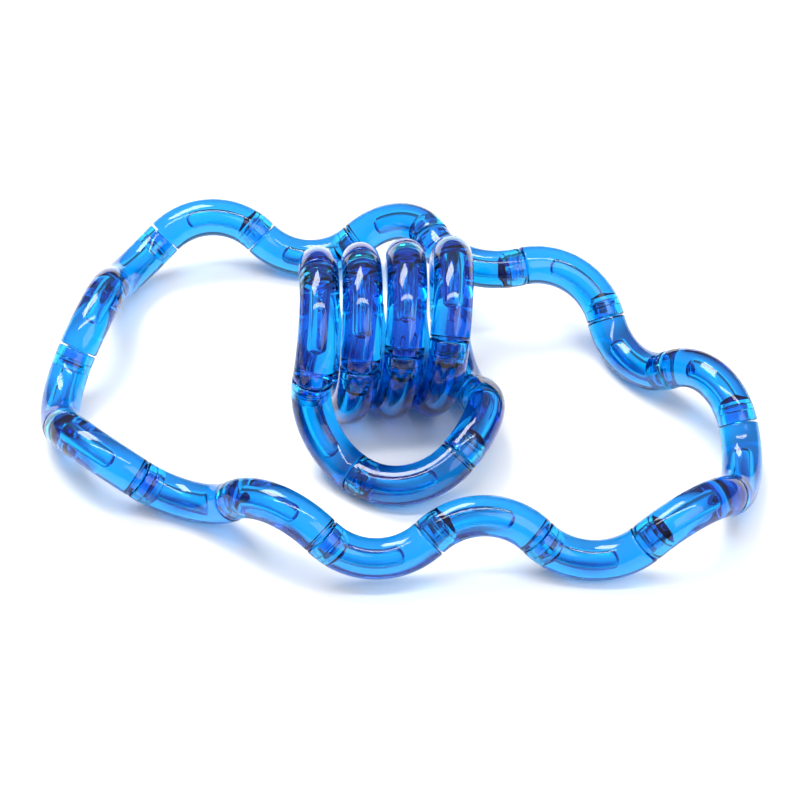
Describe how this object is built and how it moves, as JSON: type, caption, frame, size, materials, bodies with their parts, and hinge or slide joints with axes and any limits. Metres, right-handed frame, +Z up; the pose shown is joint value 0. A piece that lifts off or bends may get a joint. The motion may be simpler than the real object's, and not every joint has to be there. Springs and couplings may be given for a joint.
{
  "type": "twisting link puzzle",
  "caption": "Two closed chains of clear blue quarter-bend tube links that swivel end to end, one laid out as a wavy ring round the other, which is wound into a coil with a front loop.",
  "frame": {"origin": "on the table, at the centre of the outline seen from above", "axes": "+X along the ring's length to the right, +Y away to the back, +Z up"},
  "size_m": [0.163, 0.1178, 0.0414],
  "materials": {
    "clear_blue_plastic": "glossy, tinted see-through plastic"
  },
  "bodies": {
    "ring_link_01": {"ring_link_01": "clear_blue_plastic"},
    "ring_link_02": {"ring_link_02": "clear_blue_plastic"},
    "ring_link_03": {"ring_link_03": "clear_blue_plastic"},
    "ring_link_04": {"ring_link_04": "clear_blue_plastic"},
    "ring_link_05": {"ring_link_05": "clear_blue_plastic"},
    "ring_link_06": {"ring_link_06": "clear_blue_plastic"},
    "ring_link_07": {"ring_link_07": "clear_blue_plastic"},
    "ring_link_08": {"ring_link_08": "clear_blue_plastic"},
    "ring_link_09": {"ring_link_09": "clear_blue_plastic"},
    "ring_link_10": {"ring_link_10": "clear_blue_plastic"},
    "ring_link_11": {"ring_link_11": "clear_blue_plastic"},
    "ring_link_12": {"ring_link_12": "clear_blue_plastic"},
    "ring_link_13": {"ring_link_13": "clear_blue_plastic"},
    "ring_link_14": {"ring_link_14": "clear_blue_plastic"},
    "ring_link_15": {"ring_link_15": "clear_blue_plastic"},
    "ring_link_16": {"ring_link_16": "clear_blue_plastic"},
    "ring_link_17": {"ring_link_17": "clear_blue_plastic"},
    "ring_link_18": {"ring_link_18": "clear_blue_plastic"},
    "coil_link_01": {"coil_link_01": "clear_blue_plastic"},
    "coil_link_02": {"coil_link_02": "clear_blue_plastic"},
    "coil_link_03": {"coil_link_03": "clear_blue_plastic"},
    "coil_link_04": {"coil_link_04": "clear_blue_plastic"},
    "coil_link_05": {"coil_link_05": "clear_blue_plastic"},
    "coil_link_06": {"coil_link_06": "clear_blue_plastic"},
    "coil_link_07": {"coil_link_07": "clear_blue_plastic"},
    "coil_link_08": {"coil_link_08": "clear_blue_plastic"},
    "coil_link_09": {"coil_link_09": "clear_blue_plastic"},
    "coil_link_10": {"coil_link_10": "clear_blue_plastic"},
    "coil_link_11": {"coil_link_11": "clear_blue_plastic"},
    "coil_link_12": {"coil_link_12": "clear_blue_plastic"},
    "coil_link_13": {"coil_link_13": "clear_blue_plastic"},
    "coil_link_14": {"coil_link_14": "clear_blue_plastic"},
    "coil_link_15": {"coil_link_15": "clear_blue_plastic"},
    "coil_link_16": {"coil_link_16": "clear_blue_plastic"},
    "coil_link_17": {"coil_link_17": "clear_blue_plastic"},
    "coil_link_18": {"coil_link_18": "clear_blue_plastic"}
  },
  "joints": [
    {"name": "ring_pivot_05", "type": "hinge", "parent": "ring_link_04", "child": "ring_link_05", "pos_m": [0.02897, 0.02979, 0.01844], "axis": [0.9437, 0.3286, 0.0374], "continuous": true},
    {"name": "ring_pivot_06", "type": "hinge", "parent": "ring_link_05", "child": "ring_link_06", "pos_m": [0.04881, 0.02253, 0.00855], "axis": [0.2487, -0.7389, -0.6263], "continuous": true},
    {"name": "ring_pivot_07", "type": "hinge", "parent": "ring_link_06", "child": "ring_link_07", "pos_m": [0.06277, 0.00385, 0.00937], "axis": [0.6274, -0.3849, 0.677], "continuous": true},
    {"name": "ring_pivot_08", "type": "hinge", "parent": "ring_link_07", "child": "ring_link_08", "pos_m": [0.07642, -0.01507, 0.00997], "axis": [0.2054, -0.7442, -0.6356], "continuous": true},
    {"name": "ring_pivot_09", "type": "hinge", "parent": "ring_link_08", "child": "ring_link_09", "pos_m": [0.07229, -0.03804, 0.00988], "axis": [-0.4323, -0.643, 0.6322], "continuous": true},
    {"name": "ring_pivot_10", "type": "hinge", "parent": "ring_link_09", "child": "ring_link_10", "pos_m": [0.05335, -0.05165, 0.00922], "axis": [-0.7126, -0.1877, -0.676], "range_deg": [-315, 15]},
    {"name": "ring_pivot_11", "type": "hinge", "parent": "ring_link_10", "child": "ring_link_11", "pos_m": [0.03009, -0.04978, 0.00903], "axis": [-0.6909, 0.2986, 0.6584], "range_deg": [-25, 225]},
    {"name": "ring_pivot_12", "type": "hinge", "parent": "ring_link_11", "child": "ring_link_12", "pos_m": [0.00686, -0.05135, 0.01057], "axis": [-0.7217, -0.3924, -0.5702], "continuous": true},
    {"name": "ring_pivot_14", "type": "hinge", "parent": "ring_link_14", "child": "ring_link_13", "pos_m": [-0.03599, -0.03975, 0.01025], "axis": [-0.5002, 0.4357, -0.7483], "continuous": true},
    {"name": "ring_pivot_15", "type": "hinge", "parent": "ring_link_15", "child": "ring_link_14", "pos_m": [-0.05737, -0.03067, 0.00801], "axis": [-0.7842, 0.1206, 0.6086], "range_deg": [-250, 30]},
    {"name": "ring_pivot_16", "type": "hinge", "parent": "ring_link_16", "child": "ring_link_15", "pos_m": [-0.07525, -0.01574, 0.00945], "axis": [-0.3016, 0.7949, -0.5265], "continuous": true},
    {"name": "ring_pivot_17", "type": "hinge", "parent": "ring_link_17", "child": "ring_link_16", "pos_m": [-0.07386, 0.0074, 0.01206], "axis": [0.3994, 0.6117, 0.6829], "continuous": true},
    {"name": "ring_pivot_18", "type": "hinge", "parent": "ring_link_18", "child": "ring_link_17", "pos_m": [-0.06759, 0.02988, 0.01237], "axis": [-0.0243, 0.7498, -0.6612], "range_deg": [-15, 265]},
    {"name": "ring_pivot_01", "type": "hinge", "parent": "ring_link_01", "child": "ring_link_18", "pos_m": [-0.05661, 0.05036, 0.01026], "axis": [0.6886, 0.4912, 0.5333], "continuous": true},
    {"name": "ring_pivot_02", "type": "hinge", "parent": "ring_link_02", "child": "ring_link_01", "pos_m": [-0.03342, 0.05249, 0.00874], "axis": [0.7028, -0.3488, -0.62], "continuous": true},
    {"name": "ring_pivot_03", "type": "hinge", "parent": "ring_link_03", "child": "ring_link_02", "pos_m": [-0.01013, 0.05105, 0.00885], "axis": [0.7228, 0.2809, 0.6314], "range_deg": [-75, 15]},
    {"name": "ring_pivot_04", "type": "hinge", "parent": "ring_link_04", "child": "ring_link_03", "pos_m": [0.00795, 0.03993, 0.01854], "axis": [-0.3597, 0.9323, 0.0379], "continuous": true},
    {"name": "coil_lift", "type": "slide", "parent": "ring_link_04", "child": "coil_link_14", "axis": [0, 0, 1], "range_m": [0, 0.1]},
    {"name": "coil_pivot_15", "type": "hinge", "parent": "coil_link_14", "child": "coil_link_15", "pos_m": [0.01188, 0.01927, 0.01127], "axis": [-0.0553, 0.5597, 0.8268], "range_deg": [0, 175]},
    {"name": "coil_pivot_16", "type": "hinge", "parent": "coil_link_15", "child": "coil_link_16", "pos_m": [0.01809, -0.00291, 0.00753], "axis": [0.339, -0.7458, 0.5735], "range_deg": [0, 80]},
    {"name": "coil_pivot_02", "type": "hinge", "parent": "coil_link_02", "child": "coil_link_01", "pos_m": [-0.01773, 0.00461, 0.03643], "axis": [0.0739, -0.9919, 0.1033], "range_deg": [-90, 0]},
    {"name": "coil_pivot_03", "type": "hinge", "parent": "coil_link_03", "child": "coil_link_02", "pos_m": [-0.01807, 0.01869, 0.01782], "axis": [-0.0475, 0.1348, 0.9897], "range_deg": [-180, 0]},
    {"name": "coil_pivot_06", "type": "hinge", "parent": "coil_link_06", "child": "coil_link_05", "pos_m": [-0.00822, 0.00825, 0.03618], "axis": [-0.0599, 0.9668, -0.2484], "range_deg": [0, 180]},
    {"name": "coil_pivot_07", "type": "hinge", "parent": "coil_link_07", "child": "coil_link_06", "pos_m": [-0.00788, 0.0194, 0.01569], "axis": [0.0766, -0.2811, -0.9566], "range_deg": [0, 175]},
    {"name": "coil_pivot_10", "type": "hinge", "parent": "coil_link_10", "child": "coil_link_09", "pos_m": [0.00177, 0.01171, 0.03553], "axis": [0.052, -0.9192, 0.3903], "range_deg": [-180, 0]},
    {"name": "coil_pivot_11", "type": "hinge", "parent": "coil_link_11", "child": "coil_link_10", "pos_m": [0.00216, 0.01959, 0.01357], "axis": [0.0773, -0.4242, -0.9023], "range_deg": [0, 175]},
    {"name": "coil_pivot_14", "type": "hinge", "parent": "coil_link_14", "child": "coil_link_13", "pos_m": [0.01214, 0.01492, 0.0342], "axis": [-0.0605, 0.8486, -0.5255], "range_deg": [0, 175]},
    {"name": "coil_pivot_17", "type": "hinge", "parent": "coil_link_16", "child": "coil_link_17", "pos_m": [0.01343, -0.02561, 0.0102], "axis": [-0.6382, -0.645, -0.4203], "range_deg": [0, 160]},
    {"name": "coil_pivot_01", "type": "hinge", "parent": "coil_link_01", "child": "coil_link_18", "pos_m": [-0.01911, -0.01364, 0.02195], "axis": [-0.1736, -0.1032, -0.9794], "range_deg": [-180, 0]},
    {"name": "coil_pivot_04", "type": "hinge", "parent": "coil_link_04", "child": "coil_link_03", "pos_m": [-0.01344, -0.00012, 0.00481], "axis": [-0.2179, 0.9568, -0.1924], "range_deg": [-180, 0]},
    {"name": "coil_pivot_05", "type": "hinge", "parent": "coil_link_05", "child": "coil_link_04", "pos_m": [-0.00856, -0.01187, 0.02437], "axis": [0.0832, 0.2403, 0.9671], "range_deg": [0, 180]},
    {"name": "coil_pivot_08", "type": "hinge", "parent": "coil_link_08", "child": "coil_link_07", "pos_m": [-0.00319, -0.00117, 0.00572], "axis": [0.2054, -0.9187, 0.3374], "range_deg": [0, 175]},
    {"name": "coil_pivot_09", "type": "hinge", "parent": "coil_link_09", "child": "coil_link_08", "pos_m": [0.00133, -0.00995, 0.02686], "axis": [-0.0698, -0.3788, -0.9228], "range_deg": [-180, 0]},
    {"name": "coil_pivot_12", "type": "hinge", "parent": "coil_link_12", "child": "coil_link_11", "pos_m": [0.00665, -0.00229, 0.00681], "axis": [0.2046, -0.8579, 0.4714], "range_deg": [0, 175]},
    {"name": "coil_pivot_13", "type": "hinge", "parent": "coil_link_13", "child": "coil_link_12", "pos_m": [0.01149, -0.00782, 0.02896], "axis": [0.0819, 0.5124, 0.8549], "range_deg": [0, 175]}
  ],
  "couplings": [
    {"joint": "coil_pivot_17", "follows": "coil_pivot_16", "ratio": 2},
    {"joint": "coil_pivot_01", "follows": "coil_pivot_02", "ratio": 2},
    {"joint": "coil_pivot_04", "follows": "coil_pivot_03", "ratio": 1},
    {"joint": "coil_pivot_05", "follows": "coil_pivot_06", "ratio": 1},
    {"joint": "coil_pivot_08", "follows": "coil_pivot_07", "ratio": 1},
    {"joint": "coil_pivot_09", "follows": "coil_pivot_10", "ratio": 1},
    {"joint": "coil_pivot_12", "follows": "coil_pivot_11", "ratio": 1},
    {"joint": "coil_pivot_13", "follows": "coil_pivot_14", "ratio": 1}
  ]
}
